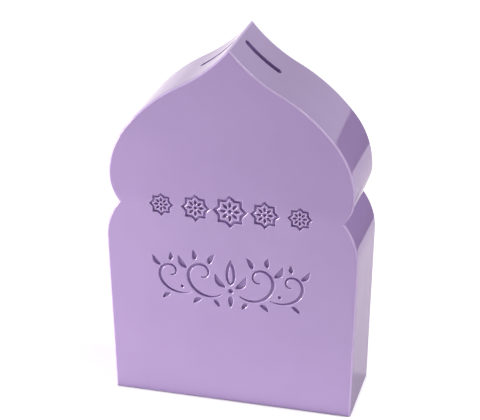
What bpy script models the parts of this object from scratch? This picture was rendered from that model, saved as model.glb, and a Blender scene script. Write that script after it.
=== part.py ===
"""Money box in lilac acrylic sheet: a keel-arch case with two coin slots in its roof and a locking rear door.

Metres, +Z up. The origin is the middle of the base's underside, and the front of the case faces -Y.
"""

import math

import bmesh
import bpy
from mathutils import Matrix, Vector

# Outline of the case from the front. Rises are stacked one above the other from the table.
CASE_WIDTH = 0.150
WALL_HEIGHT = 0.1004
WALL_LEAN = 0.0024
SHOULDER_RISE = 0.0247
NOTCH_INSET = 0.0083
LOWER_BULGE_RISE = 0.0162
BULGE_INSET = 0.0027
DOME_RISE = 0.0824
HAUNCH_WIDTH_SHARE = 0.854
HAUNCH_RISE_SHARE = 0.372
TIP_WIDTH_SHARE = 0.389
TIP_RISE_SHARE = 0.717

# Acrylic sheet
CASE_DEPTH = 0.0525
PANEL_THICKNESS = 0.005
STRIP_THICKNESS = 0.003
BASE_THICKNESS = 0.004
GLUE_GAP = 0.0003
EDGE_ROUND = 0.0013

# Coin slots, measured along the roof from its tip
SLOT_START = 0.0045
SLOT_LENGTH = 0.027
SLOT_WIDTH = 0.0046

# Rear door and the strips that it closes against
DOOR_WIDTH = 0.084
DOOR_HEIGHT = 0.078
DOOR_SILL = 0.014
DOOR_CORNER = 0.003
DOOR_CLEARANCE = 0.0008
STOP_THICKNESS = 0.003
STOP_HEIGHT = 0.010
STOP_LAP = 0.004
STOP_OVERRUN = 0.006

# Butt hinges
HINGE_HEIGHT = 0.022
HINGE_INSET = 0.007
LEAF_WIDTH = 0.011
LEAF_THICKNESS = 0.001
KNUCKLE_RADIUS = 0.0022
KNUCKLE_END_SHARE = 0.34
KNUCKLE_GAP = 0.0003
PIN_RADIUS = 0.001
PIN_CLEARANCE = 0.00015
PIN_HEAD_RADIUS = 0.0018
PIN_HEAD_HEIGHT = 0.0007

# Hinge screws
SCREW_RADIUS = 0.0011
SCREW_CLEARANCE = 0.0002
SCREW_DEPTH = 0.0032
SCREW_HEAD_RADIUS = 0.0021
SCREW_HEAD_HEIGHT = 0.0012
SCREW_EDGE_DISTANCE = 0.0037
SCREW_SPACING = 0.012

# Cam lock
LOCK_EDGE_DISTANCE = 0.014
FLANGE_RADIUS = 0.009
FLANGE_HEIGHT = 0.002
FLANGE_ROUND = 0.0007
BARREL_RADIUS = 0.006
BARREL_ACROSS_FLATS = 0.0104
BARREL_LENGTH = 0.014
LOCK_HOLE_CLEARANCE = 0.0003
NUT_ACROSS_FLATS = 0.017
NUT_THICKNESS = 0.0035
NUT_CHAMFER = 0.0005
PLUG_RADIUS = 0.0042
PLUG_CLEARANCE = 0.00015
PLUG_RECESS = 0.0003
KEYWAY_WIDTH = 0.0012
KEYWAY_HEIGHT = 0.0058
KEYWAY_DEPTH = 0.006
TAIL_SIDE = 0.0056
CAM_THICKNESS = 0.0016
CAM_WIDTH = 0.012
CAM_HEEL = 0.0065
CAM_REACH = 0.024
CAM_BEND_START = 0.0085
CAM_BEND_RUN = 0.0045
CAM_CATCH_GAP = 0.0005
CAM_CLEARANCE = 0.0002
CAM_ROUND = 0.0004
CAM_SCREW_RADIUS = 0.0015
CAM_SCREW_DEPTH = 0.005
CAM_SCREW_HEAD_RADIUS = 0.0036
CAM_SCREW_HEAD_HEIGHT = 0.0018

# How finely curves are divided, how far a cutter runs past what it cuts, and what counts as one point
OUTLINE_STEP = math.radians(4.5)
SHARP_ANGLE = math.radians(35)
FLAT_ANGLE = math.radians(0.1)
CORNER_STEPS = 4
FINE_STEPS = 32
SMALL_STEPS = 16
CUT_OVERRUN = 0.002
SAME_POINT = 0.000003

# Levels and places that several pieces share
CASE_HALF = CASE_WIDTH / 2
BASE_HALF = CASE_HALF - WALL_LEAN
NOTCH = Vector((CASE_HALF - NOTCH_INSET, WALL_HEIGHT + SHOULDER_RISE))
BULGE = Vector((CASE_HALF - BULGE_INSET, NOTCH.y + LOWER_BULGE_RISE))
APEX = Vector((0, BULGE.y + DOME_RISE))
STRIP_DEPTH = CASE_DEPTH - 2 * (PANEL_THICKNESS + GLUE_GAP)
BACK_FACE = CASE_DEPTH / 2
BACK_INSIDE = BACK_FACE - PANEL_THICKNESS
OPENING_WIDTH = DOOR_WIDTH + 2 * DOOR_CLEARANCE
OPENING_HEIGHT = DOOR_HEIGHT + 2 * DOOR_CLEARANCE
OPENING_MIDDLE = DOOR_SILL + OPENING_HEIGHT / 2
HINGE_AXIS = Vector((
    -(DOOR_WIDTH + DOOR_CLEARANCE) / 2,
    BACK_FACE + GLUE_GAP + KNUCKLE_RADIUS,
    OPENING_MIDDLE,
))
LOCK_AXIS = Vector((DOOR_WIDTH / 2 - LOCK_EDGE_DISTANCE, BACK_FACE, OPENING_MIDDLE))


def clear_scene():
    for obj in list(bpy.data.objects):
        bpy.data.objects.remove(obj, do_unlink=True)


def new_collection(name):
    collection = bpy.data.collections.new(name)
    bpy.context.scene.collection.children.link(collection)
    return collection


def linear(hex_colour):
    """sRGB hex digits as linear red, green, blue and alpha."""
    shares = [int(hex_colour[i : i + 2], 16) / 255 for i in (0, 2, 4)]
    return [c / 12.92 if c <= 0.04045 else ((c + 0.055) / 1.055) ** 2.4 for c in shares] + [1.0]


def new_material(name, hex_colour, metallic, roughness):
    material = bpy.data.materials.new(name)
    material.use_nodes = True
    shader = material.node_tree.nodes["Principled BSDF"]
    shader.inputs["Base Color"].default_value = linear(hex_colour)
    shader.inputs["Metallic"].default_value = metallic
    shader.inputs["Roughness"].default_value = roughness
    return material


clear_scene()
PARTS = new_collection("money_box")
CUTTERS = new_collection("cutters")
ACRYLIC = new_material("lilac_acrylic", "B29BCA", 0.0, 0.08)
NICKEL = new_material("nickel_plated_steel", "C9C8C4", 1.0, 0.22)
ZINC = new_material("zinc_plated_steel", "B9BBBD", 1.0, 0.35)
CHROME = new_material("chromed_zinc", "D2D3D6", 1.0, 0.12)


def add_object(name, mesh, material=None):
    """A part where a material is given, or else a cutter that stays out of the render."""
    obj = bpy.data.objects.new(name, mesh)
    if material:
        PARTS.objects.link(obj)
        mesh.materials.append(material)
        return obj
    CUTTERS.objects.link(obj)
    obj.hide_render = True
    obj.display_type = "WIRE"
    return obj


def shade(mesh):
    mesh.shade_smooth()
    mesh.set_sharp_from_angle(angle=SHARP_ANGLE)


# Outline of the case
def arc_between(start, heading, end):
    """The points after start on the arc that leaves it at this heading for end, and the arc's last heading."""
    chord = end - start
    turn = 2 * (math.atan2(chord.y, chord.x) - heading)
    radius = chord.length / (2 * math.sin(turn / 2))
    steps = max(2, round(abs(turn) / OUTLINE_STEP))
    points = []
    for i in range(1, steps + 1):
        part = turn * i / steps
        reach = 2 * radius * math.sin(part / 2)
        direction = heading + part / 2
        points.append(start + reach * Vector((math.cos(direction), math.sin(direction))))
    return points, heading + turn


def right_outline():
    """The right half of the outline as (x, z), from the base up to the apex, and which point is the notch."""
    up = math.radians(90)
    base = Vector((BASE_HALF, 0))
    shoulder = Vector((CASE_HALF, WALL_HEIGHT))
    haunch = Vector((BULGE.x * HAUNCH_WIDTH_SHARE, BULGE.y + DOME_RISE * HAUNCH_RISE_SHARE))
    tip = Vector((BULGE.x * TIP_WIDTH_SHARE, BULGE.y + DOME_RISE * TIP_RISE_SHARE))
    points = [base, shoulder]
    points += arc_between(shoulder, math.atan2(WALL_HEIGHT, WALL_LEAN), NOTCH)[0]
    notch_index = len(points) - 1
    down_to_notch = arc_between(BULGE, -up, NOTCH)[0]
    points += down_to_notch[-2::-1] + [BULGE]
    heading = up
    for end in (haunch, tip, APEX):
        stretch, heading = arc_between(points[-1], heading, end)
        points += stretch
    return points, notch_index


def inward(points, distance):
    """The line this far to the left of a line of points, with its corners mitred."""
    moved = []
    for i, point in enumerate(points):
        before = (point - points[max(i - 1, 0)]).normalized()
        after = (points[min(i + 1, len(points) - 1)] - point).normalized()
        before = before if before.length else after
        after = after if after.length else before
        along = (before + after).normalized()
        moved.append(point + Vector((-along.y, along.x)) * distance / along.dot(before))
    return moved


def pulled_back(point, neighbour, cut, distance):
    """The point moved towards its neighbour until it lies this far from a cut line through it."""
    along = (neighbour - point).normalized()
    return point + along * distance / abs(along.cross(cut.normalized()))


def mitred_strip(outer, inner):
    """A strip's section between two lines of points, with both its ends pulled back by half a glue gap."""
    cuts = (inner[0] - outer[0], inner[-1] - outer[-1])
    for line in (outer, inner):
        first = pulled_back(line[0], line[1], cuts[0], GLUE_GAP / 2)
        last = pulled_back(line[-1], line[-2], cuts[1], GLUE_GAP / 2)
        line[0], line[-1] = first, last
    return outer + inner[::-1]


def strip_sections():
    """The sections of the right wall strip and of the right roof strip."""
    outer, notch_index = right_outline()
    mirrored_neighbour = Vector((-outer[-2].x, outer[-2].y))
    inner = inward(outer + [mirrored_neighbour], STRIP_THICKNESS)[:-1]
    apex_inside = inner.pop()
    while inner[-1].x < 0:
        inner.pop()
    inner.append(apex_inside)
    inner[0] = Vector((inner[0].x, 0))
    wall_outer, wall_inner = outer[: notch_index + 1], inner[: notch_index + 1]
    mitre = wall_inner[-1] - wall_outer[-1]
    for line in (wall_outer, wall_inner):
        line[-1] = pulled_back(line[-1], line[-2], mitre, GLUE_GAP / 2)
    wall = wall_outer + wall_inner[::-1]
    roof = mitred_strip(outer[notch_index:], inner[notch_index:])
    return wall, roof


def mirrored(points):
    return [Vector((-point.x, point.y)) for point in reversed(points)]


def rounded_rectangle(width, height, corner, middle=Vector((0, 0))):
    points = []
    for quarter, (side_x, side_y) in enumerate(((1, -1), (1, 1), (-1, 1), (-1, -1))):
        centre = middle + Vector((side_x * (width / 2 - corner), side_y * (height / 2 - corner)))
        for i in range(CORNER_STEPS + 1):
            angle = math.radians(90) * (quarter - 1 + i / CORNER_STEPS)
            points.append(centre + corner * Vector((math.cos(angle), math.sin(angle))))
    return points


def round_loop(radius, middle, start, end, steps):
    """Points of an arc between two angles in degrees."""
    angles = [math.radians(start + (end - start) * i / steps) for i in range(steps + 1)]
    return [middle + radius * Vector((math.cos(angle), math.sin(angle))) for angle in angles]


# Ways to make a piece. A flat piece is drawn as (right, up) and turned to where it stands.
FACING_FRONT = Matrix.Rotation(math.radians(90), 4, "X")
FACING_UP = Matrix.Identity(4)
FACING_SIDE = Matrix(((0, 0, -1, 0), (0, 1, 0, 0), (1, 0, 0, 0), (0, 0, 0, 1)))


def flat_piece(name, loops, thickness, middle, material=None, facing=FACING_FRONT):
    """An outline, with the outlines of any holes after it, thickened to both sides of middle."""
    curve = bpy.data.curves.new(name, "CURVE")
    curve.dimensions = "2D"
    curve.fill_mode = "BOTH"
    curve.extrude = thickness / 2
    for loop in loops:
        spline = curve.splines.new("POLY")
        spline.points.add(len(loop) - 1)
        for spline_point, point in zip(spline.points, loop):
            spline_point.co = (point.x, point.y, 0, 1)
        spline.use_cyclic_u = True
    guide = bpy.data.objects.new(name + "_outline", curve)
    bpy.context.scene.collection.objects.link(guide)
    guide.matrix_world = Matrix.Translation(middle) @ facing
    bpy.context.view_layer.update()
    graph = bpy.context.evaluated_depsgraph_get()
    mesh = bpy.data.meshes.new_from_object(guide.evaluated_get(graph))
    mesh.name = name
    body = bmesh.new()
    body.from_mesh(mesh)
    bmesh.ops.remove_doubles(body, verts=body.verts, dist=SAME_POINT)
    bmesh.ops.dissolve_limit(
        body, angle_limit=FLAT_ANGLE, verts=body.verts, edges=body.edges, delimit={"NORMAL"}
    )
    bmesh.ops.recalc_face_normals(body, faces=body.faces)
    body.to_mesh(mesh)
    body.free()
    shade(mesh)
    mesh.materials.clear()
    piece = add_object(name, mesh, material)
    piece.matrix_world = guide.matrix_world
    bpy.data.objects.remove(guide, do_unlink=True)
    bpy.data.curves.remove(curve)
    return piece


def block(name, low, high, material=None):
    """A box between two opposite corners."""
    mesh = bpy.data.meshes.new(name)
    body = bmesh.new()
    bmesh.ops.create_cube(body, size=1)
    size = high - low
    bmesh.ops.scale(body, vec=size, verts=body.verts)
    body.to_mesh(mesh)
    body.free()
    piece = add_object(name, mesh, material)
    piece.location = (low + high) / 2
    return piece


def turned_piece(name, profile, steps, place, out, material=None):
    """A profile of (radius, height) from top to bottom, turned about an axis that points along out."""
    mesh = bpy.data.meshes.new(name)
    points = [(radius, 0, height) for radius, height in profile]
    mesh.from_pydata(points, [(i, i + 1) for i in range(len(points) - 1)], [])
    piece = add_object(name, mesh, material)
    piece.location = place
    piece.rotation_euler = out.to_track_quat("Z", "Y").to_euler()
    screw = piece.modifiers.new("turn", "SCREW")
    screw.steps = steps
    screw.render_steps = steps
    screw.use_merge_vertices = True
    screw.merge_threshold = SAME_POINT
    screw.use_smooth_shade = True
    return piece


def rod_profile(radius, low, high):
    return [(0, high), (radius, high), (radius, low), (0, low)]


def rod(name, radius, low, high, steps, place, out, material=None):
    return turned_piece(name, rod_profile(radius, low, high), steps, place, out, material)


def combine(piece, other, operation="DIFFERENCE"):
    modifier = piece.modifiers.new(other.name, "BOOLEAN")
    modifier.operation = operation
    modifier.solver = "EXACT"
    modifier.object = other
    return piece


def round_edges(piece, width, segments, chosen=None):
    """Rounds the chosen edges, or every sharp one."""
    bevel = piece.modifiers.new("round", "BEVEL")
    bevel.width = width
    bevel.segments = segments
    bevel.limit_method = "WEIGHT" if chosen else "ANGLE"
    bevel.angle_limit = SHARP_ANGLE
    bevel.use_clamp_overlap = True
    if chosen:
        weights = piece.data.attributes.new("bevel_weight_edge", "FLOAT", "EDGE")
        for index in chosen:
            weights.data[index].value = 1.0
    return piece


def face_rim(piece, outer_side):
    """The edges round the face of a flat piece that looks out along its local Z times outer_side."""
    vertices = piece.data.vertices
    level = max(vertex.co.z * outer_side for vertex in vertices)
    return [
        edge.index
        for edge in piece.data.edges
        if all(vertices[i].co.z * outer_side > level - SAME_POINT for i in edge.vertices)
    ]


# Case
def arch_panel(name, side):
    """A front or back panel with the whole outline, and the edge of its outer face rounded."""
    right = right_outline()[0]
    outline = right + mirrored(right[:-1])
    middle = Vector((0, side * (CASE_DEPTH - PANEL_THICKNESS) / 2, 0))
    panel = flat_piece(name, [outline], PANEL_THICKNESS, middle, ACRYLIC)
    return round_edges(panel, EDGE_ROUND, 2, face_rim(panel, -side))


def point_along(line, distance):
    """The place this far along a line of points, whose last stretch runs on, and the normal to its left."""
    lengths = [(end - start).length for start, end in zip(line, line[1:])]
    stretch = 0
    while stretch < len(lengths) - 1 and distance > lengths[stretch]:
        distance -= lengths[stretch]
        stretch += 1
    along = (line[stretch + 1] - line[stretch]).normalized()
    return line[stretch] + along * distance, Vector((-along.y, along.x))


def slot_cutter(label, side):
    """A slot's outline, thickened, sliced and bent along the roof, so that it cuts square to it."""
    reach = STRIP_THICKNESS + CUT_OVERRUN
    radius = SLOT_WIDTH / 2
    upper = Vector((SLOT_START + radius, 0))
    lower = Vector((SLOT_START + SLOT_LENGTH - radius, 0))
    half_steps = SMALL_STEPS // 2
    outline = round_loop(radius, lower, -90, 90, half_steps)
    outline += round_loop(radius, upper, 90, 270, half_steps)
    middle = Vector((0, 0, 0))
    cutter = flat_piece(f"coin_slot_{label}", [outline], 2 * reach, middle, facing=FACING_UP)
    body = bmesh.new()
    body.from_mesh(cutter.data)
    for i in range(1, SMALL_STEPS):
        geometry = body.verts[:] + body.edges[:] + body.faces[:]
        station = upper.lerp(lower, i / SMALL_STEPS)
        bmesh.ops.bisect_plane(body, geom=geometry, plane_co=station.to_3d(), plane_no=(1, 0, 0))
    points, notch_index = right_outline()
    roof_line = points[:notch_index:-1]
    for vertex in body.verts:
        place, out = point_along(roof_line, vertex.co.x)
        bent = place + out * vertex.co.z
        vertex.co = Vector((side * bent.x, vertex.co.y, bent.y))
    if side < 0:
        bmesh.ops.reverse_faces(body, faces=body.faces)
    body.to_mesh(cutter.data)
    body.free()
    return cutter


def build_case():
    pieces = [arch_panel("front_panel", -1)]
    back = arch_panel("back_panel", 1)
    opening = rounded_rectangle(
        OPENING_WIDTH, OPENING_HEIGHT, DOOR_CORNER + DOOR_CLEARANCE, Vector((0, OPENING_MIDDLE))
    )
    back_middle = Vector((0, (BACK_FACE + BACK_INSIDE) / 2, 0))
    cutter = flat_piece("door_opening", [opening], PANEL_THICKNESS + 2 * CUT_OVERRUN, back_middle)
    pieces.append(combine(back, cutter))
    wall, roof = strip_sections()
    for label, side in (("right", 1), ("left", -1)):
        wall_outline = wall if side > 0 else mirrored(wall)
        roof_outline = roof if side > 0 else mirrored(roof)
        middle = Vector((0, 0, 0))
        pieces.append(flat_piece(f"wall_strip_{label}", [wall_outline], STRIP_DEPTH, middle, ACRYLIC))
        roof_strip = flat_piece(f"roof_strip_{label}", [roof_outline], STRIP_DEPTH, middle, ACRYLIC)
        pieces.append(combine(roof_strip, slot_cutter(label, side)))
    half = Vector((BASE_HALF - STRIP_THICKNESS - 2 * GLUE_GAP, STRIP_DEPTH / 2, 0))
    pieces.append(block("base_panel", -half, half + Vector((0, 0, BASE_THICKNESS)), ACRYLIC))
    for label, edge, side in (
        ("lower", OPENING_MIDDLE - OPENING_HEIGHT / 2, -1),
        ("upper", OPENING_MIDDLE + OPENING_HEIGHT / 2, 1),
    ):
        ends = sorted((edge - side * STOP_LAP, edge + side * (STOP_HEIGHT - STOP_LAP)))
        half_length = OPENING_WIDTH / 2 + STOP_OVERRUN
        inside = BACK_INSIDE - GLUE_GAP
        low = Vector((-half_length, inside - STOP_THICKNESS, ends[0]))
        high = Vector((half_length, inside, ends[1]))
        pieces.append(block(f"door_stop_{label}", low, high, ACRYLIC))
    return pieces, back


# Door
def build_door():
    outline = rounded_rectangle(DOOR_WIDTH, DOOR_HEIGHT, DOOR_CORNER)
    middle = Vector((0, (BACK_FACE + BACK_INSIDE) / 2, OPENING_MIDDLE))
    door = flat_piece("door_panel", [outline], PANEL_THICKNESS, middle, ACRYLIC)
    grown = 2 * LOCK_HOLE_CLEARANCE
    hole = barrel_section(
        "lock_hole", BARREL_RADIUS + LOCK_HOLE_CLEARANCE, BARREL_ACROSS_FLATS + grown,
        -PANEL_THICKNESS - CUT_OVERRUN, CUT_OVERRUN,
    )
    return combine(door, hole)


def build_leaf(name, side, middle_height):
    """A rolled hinge leaf. The case's, on the -X side, has the end knuckles, the door's the middle one."""
    axis = Vector((0, KNUCKLE_RADIUS))
    top_angle = math.degrees(math.asin(LEAF_THICKNESS / KNUCKLE_RADIUS - 1))
    curl = round_loop(KNUCKLE_RADIUS, axis, -90, top_angle - 360, SMALL_STEPS)
    section = [Vector((LEAF_WIDTH, 0))] + curl + [Vector((LEAF_WIDTH, LEAF_THICKNESS))]
    bore = round_loop(PIN_RADIUS + PIN_CLEARANCE, axis, 0, 360, SMALL_STEPS)[:-1]
    loops = [section, bore] if side > 0 else [mirrored(section), mirrored(bore)]
    seat = Vector((HINGE_AXIS.x, BACK_FACE + GLUE_GAP, middle_height))
    leaf = flat_piece(name, loops, HINGE_HEIGHT, seat, NICKEL, FACING_UP)
    half = HINGE_HEIGHT / 2
    end_knuckle = HINGE_HEIGHT * KNUCKLE_END_SHARE
    if side < 0:
        notches = [(end_knuckle - half, half - end_knuckle)]
    else:
        past = half + CUT_OVERRUN
        notches = [(-past, end_knuckle - half + KNUCKLE_GAP), (half - end_knuckle - KNUCKLE_GAP, past)]
    room = KNUCKLE_RADIUS + KNUCKLE_GAP
    for number, (low, high) in enumerate(notches, 1):
        corner = Vector((room, 0, 0))
        notch = block(
            f"{name}_notch_{number}",
            seat - corner + Vector((0, -CUT_OVERRUN, low)),
            seat + corner + Vector((0, 2 * KNUCKLE_RADIUS + CUT_OVERRUN, high)),
        )
        combine(leaf, notch)
    return leaf


def build_screw(name, place, material, head_radius, head_height, radius, depth):
    """A pan-head screw whose head rests at place and stands out along +Y."""
    crown_share = 0.6
    edge_share = 0.8
    profile = [
        (0, head_height),
        (head_radius * edge_share, head_height),
        (head_radius, head_height * crown_share),
        (head_radius, 0),
        (radius, 0),
        (radius, -depth + radius),
        (0, -depth),
    ]
    return turned_piece(name, profile, SMALL_STEPS, place, Vector((0, 1, 0)), material)


def build_hinges(back, door):
    """Two hinges, each with a leaf on the case, a leaf on the door, a pin and four screws."""
    case_pieces, door_pieces = [], []
    out = Vector((0, 1, 0))
    offset = DOOR_HEIGHT / 2 - HINGE_INSET - HINGE_HEIGHT / 2
    for label, height in (("lower", OPENING_MIDDLE - offset), ("upper", OPENING_MIDDLE + offset)):
        for owner, side, sheet, pieces in (
            ("case", -1, back, case_pieces),
            ("door", 1, door, door_pieces),
        ):
            leaf = build_leaf(f"hinge_{label}_{owner}_leaf", side, height)
            pieces.append(leaf)
            for number, step in enumerate((-1, 1), 1):
                place = Vector((
                    HINGE_AXIS.x + side * (LEAF_WIDTH - SCREW_EDGE_DISTANCE),
                    BACK_FACE + GLUE_GAP + LEAF_THICKNESS,
                    height + step * SCREW_SPACING / 2,
                ))
                shank = SCREW_DEPTH + LEAF_THICKNESS + GLUE_GAP
                name = f"hinge_{label}_{owner}_screw_{number}"
                hole = rod(
                    name + "_hole", SCREW_RADIUS + SCREW_CLEARANCE,
                    -shank - SCREW_CLEARANCE, CUT_OVERRUN, SMALL_STEPS, place, out,
                )
                combine(leaf, hole)
                combine(sheet, hole)
                head_seat = place + out * SCREW_CLEARANCE
                pieces.append(build_screw(
                    name, head_seat, ZINC,
                    SCREW_HEAD_RADIUS, SCREW_HEAD_HEIGHT, SCREW_RADIUS, shank,
                ))
        half = HINGE_HEIGHT / 2
        pin_profile = [
            (0, half + SCREW_CLEARANCE + PIN_HEAD_HEIGHT),
            (PIN_HEAD_RADIUS / 2, half + SCREW_CLEARANCE + PIN_HEAD_HEIGHT),
            (PIN_HEAD_RADIUS, half + SCREW_CLEARANCE),
            (PIN_RADIUS, half + SCREW_CLEARANCE),
            (PIN_RADIUS, -half),
            (0, -half),
        ]
        place = Vector((HINGE_AXIS.x, HINGE_AXIS.y, height))
        pin = turned_piece(
            f"hinge_{label}_pin", pin_profile, SMALL_STEPS, place, Vector((0, 0, 1)), NICKEL
        )
        case_pieces.append(pin)
    return case_pieces, door_pieces


# Lock. Depths along its axis are counted from the door's outer face, outwards.
FLANGE_BACK = GLUE_GAP
FLANGE_FRONT = FLANGE_BACK + FLANGE_HEIGHT
BARREL_END = FLANGE_BACK - BARREL_LENGTH
CAM_FRONT = BARREL_END - GLUE_GAP
CAM_BACK = CAM_FRONT - CAM_THICKNESS


def barrel_section(name, radius, across_flats, low, high, material=None):
    """A rod along the lock's axis with two flats, at its sides."""
    out = Vector((0, 1, 0))
    barrel = rod(name, radius, low, high, FINE_STEPS, LOCK_AXIS, out, material)
    half = Vector((across_flats / 2, 0, radius + CUT_OVERRUN))
    low_corner = LOCK_AXIS - half + out * (low - CUT_OVERRUN)
    high_corner = LOCK_AXIS + half + out * (high + CUT_OVERRUN)
    return combine(barrel, block(name + "_flats", low_corner, high_corner), "INTERSECT")


def build_lock_body():
    """A round flange on a barrel with two flats, bored for the plug."""
    out = Vector((0, 1, 0))
    profile = [
        (0, FLANGE_FRONT),
        (FLANGE_RADIUS - 2 * FLANGE_ROUND, FLANGE_FRONT),
        (FLANGE_RADIUS - FLANGE_ROUND / 2, FLANGE_FRONT - FLANGE_ROUND / 2),
        (FLANGE_RADIUS, FLANGE_FRONT - 2 * FLANGE_ROUND),
        (FLANGE_RADIUS, FLANGE_BACK),
        (0, FLANGE_BACK),
    ]
    body = turned_piece("lock_body", profile, FINE_STEPS, LOCK_AXIS, out, CHROME)
    barrel = barrel_section(
        "lock_barrel", BARREL_RADIUS, BARREL_ACROSS_FLATS, BARREL_END, FLANGE_BACK + FLANGE_HEIGHT / 2
    )
    combine(body, barrel, "UNION")
    bore = rod(
        "plug_bore", PLUG_RADIUS + PLUG_CLEARANCE, BARREL_END - CUT_OVERRUN, FLANGE_FRONT + CUT_OVERRUN,
        FINE_STEPS, LOCK_AXIS, out,
    )
    return combine(body, bore)


def build_lock_nut():
    """A hexagon nut that draws the flange against the door from inside."""
    out = Vector((0, 1, 0))
    top = -PANEL_THICKNESS - GLUE_GAP
    corner = NUT_ACROSS_FLATS / (2 * math.cos(math.radians(30)))
    nut = rod("lock_nut", corner, top - NUT_THICKNESS, top, 6, LOCK_AXIS, out, ZINC)
    round_edges(nut, NUT_CHAMFER, 1)
    bore = rod(
        "nut_bore", BARREL_RADIUS + PLUG_CLEARANCE, top - NUT_THICKNESS - CUT_OVERRUN,
        top + CUT_OVERRUN, FINE_STEPS, LOCK_AXIS, out,
    )
    return combine(nut, bore)


def build_plug():
    """The part that the key turns: a round plug with a keyway, and a square tail for the cam."""
    out = Vector((0, 1, 0))
    front = FLANGE_FRONT - PLUG_RECESS
    plug = rod("lock_plug", PLUG_RADIUS, BARREL_END, front, FINE_STEPS, LOCK_AXIS, out, NICKEL)
    half = Vector((TAIL_SIDE / 2, 0, TAIL_SIDE / 2))
    tail = block(
        "plug_tail",
        LOCK_AXIS - half + out * CAM_BACK,
        LOCK_AXIS + half + out * (BARREL_END + CUT_OVERRUN),
    )
    combine(plug, tail, "UNION")
    half = Vector((KEYWAY_WIDTH / 2, 0, KEYWAY_HEIGHT / 2))
    keyway = block(
        "keyway",
        LOCK_AXIS - half + out * (front - KEYWAY_DEPTH),
        LOCK_AXIS + half + out * (front + CUT_OVERRUN),
    )
    combine(plug, keyway)
    hole = rod(
        "cam_screw_hole", CAM_SCREW_RADIUS + PLUG_CLEARANCE, CAM_BACK - CUT_OVERRUN,
        CAM_BACK + CAM_SCREW_DEPTH, SMALL_STEPS, LOCK_AXIS, out,
    )
    return combine(plug, hole)


def build_cam():
    """A cranked lever that hangs from the plug's tail and swings behind the case's back panel."""
    catch_front = -PANEL_THICKNESS - CAM_CATCH_GAP
    centre_line = [
        Vector((CAM_HEEL, CAM_FRONT - CAM_THICKNESS / 2)),
        Vector((-CAM_BEND_START, CAM_FRONT - CAM_THICKNESS / 2)),
        Vector((-CAM_BEND_START - CAM_BEND_RUN, catch_front - CAM_THICKNESS / 2)),
        Vector((-CAM_REACH, catch_front - CAM_THICKNESS / 2)),
    ]
    outline = inward(centre_line, CAM_THICKNESS / 2) + inward(centre_line, -CAM_THICKNESS / 2)[::-1]
    cam = flat_piece("lock_cam", [outline], CAM_WIDTH, LOCK_AXIS, ZINC, FACING_SIDE)
    round_edges(cam, CAM_ROUND, 2)
    half = Vector((TAIL_SIDE / 2 + CAM_CLEARANCE, 0, TAIL_SIDE / 2 + CAM_CLEARANCE))
    out = Vector((0, 1, 0))
    hole = block(
        "cam_hole",
        LOCK_AXIS - half + out * (CAM_BACK - CUT_OVERRUN),
        LOCK_AXIS + half + out * (CAM_FRONT + CUT_OVERRUN),
    )
    return combine(cam, hole)


def build_cam_screw():
    place = LOCK_AXIS + Vector((0, CAM_BACK - GLUE_GAP, 0))
    screw = build_screw(
        "cam_screw", place, ZINC,
        CAM_SCREW_HEAD_RADIUS, CAM_SCREW_HEAD_HEIGHT, CAM_SCREW_RADIUS, CAM_SCREW_DEPTH,
    )
    screw.rotation_euler = Vector((0, -1, 0)).to_track_quat("Z", "Y").to_euler()
    return screw


# Assembly
def axis_empty(name, place):
    empty = bpy.data.objects.new(name, None)
    PARTS.objects.link(empty)
    empty.location = place
    return empty


def hold(empty, pieces):
    """Parents the pieces to an empty and leaves them where they are."""
    bpy.context.view_layer.update()
    for piece in pieces:
        piece.parent = empty
        piece.matrix_parent_inverse = empty.matrix_world.inverted()


def main():
    case_pieces, back = build_case()
    door = build_door()
    hinge_case_pieces, hinge_door_pieces = build_hinges(back, door)
    case = axis_empty("case", Vector((0, 0, 0)))
    door_axis = axis_empty("door_axis", HINGE_AXIS)
    lock_axis = axis_empty("lock_axis", LOCK_AXIS)
    hold(case, case_pieces + hinge_case_pieces)
    hold(door_axis, [door, build_lock_body(), build_lock_nut()] + hinge_door_pieces)
    hold(lock_axis, [build_plug(), build_cam(), build_cam_screw()])
    hold(door_axis, [lock_axis])
    hold(case, [door_axis])


main()
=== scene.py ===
"""Money box in lilac cast acrylic: polished sheet, engraved ornament, plated lock and hinges.

Metres, +Z up. The front of the case faces -Y and the door faces +Y.
"""

from math import asin, atan2, cos, degrees, log, pi, radians, sin, tan

import bmesh
import bpy
from mathutils import Matrix, Vector


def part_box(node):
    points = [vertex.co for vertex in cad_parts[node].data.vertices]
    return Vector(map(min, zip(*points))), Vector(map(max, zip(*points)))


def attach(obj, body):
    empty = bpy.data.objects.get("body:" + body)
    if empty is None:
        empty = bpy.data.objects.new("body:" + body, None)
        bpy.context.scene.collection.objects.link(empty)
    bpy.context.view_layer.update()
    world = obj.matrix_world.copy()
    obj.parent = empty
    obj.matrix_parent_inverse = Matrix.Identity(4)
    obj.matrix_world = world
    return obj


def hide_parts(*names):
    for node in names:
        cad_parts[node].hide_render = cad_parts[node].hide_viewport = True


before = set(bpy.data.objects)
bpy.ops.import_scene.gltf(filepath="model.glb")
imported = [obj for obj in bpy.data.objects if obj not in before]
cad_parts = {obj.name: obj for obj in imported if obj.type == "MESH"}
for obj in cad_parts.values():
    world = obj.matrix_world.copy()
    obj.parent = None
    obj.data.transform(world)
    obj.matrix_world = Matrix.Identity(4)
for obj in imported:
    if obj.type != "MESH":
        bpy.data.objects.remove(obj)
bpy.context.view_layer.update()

MM = 0.001

# Outline of the case from the front
CASE_WIDTH = 150 * MM
WALL_HEIGHT = 100.4 * MM
WALL_LEAN = 2.4 * MM
SHOULDER_RISE = 24.7 * MM
NOTCH_INSET = 8.3 * MM
LOWER_BULGE_RISE = 16.2 * MM
BULGE_INSET = 2.7 * MM
DOME_RISE = 82.4 * MM
# Shares of the dome's half width and rise
HAUNCH = (0.854, 0.372)
TIP = (0.389, 0.717)
OUTLINE_STEP = radians(1.5)

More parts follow.
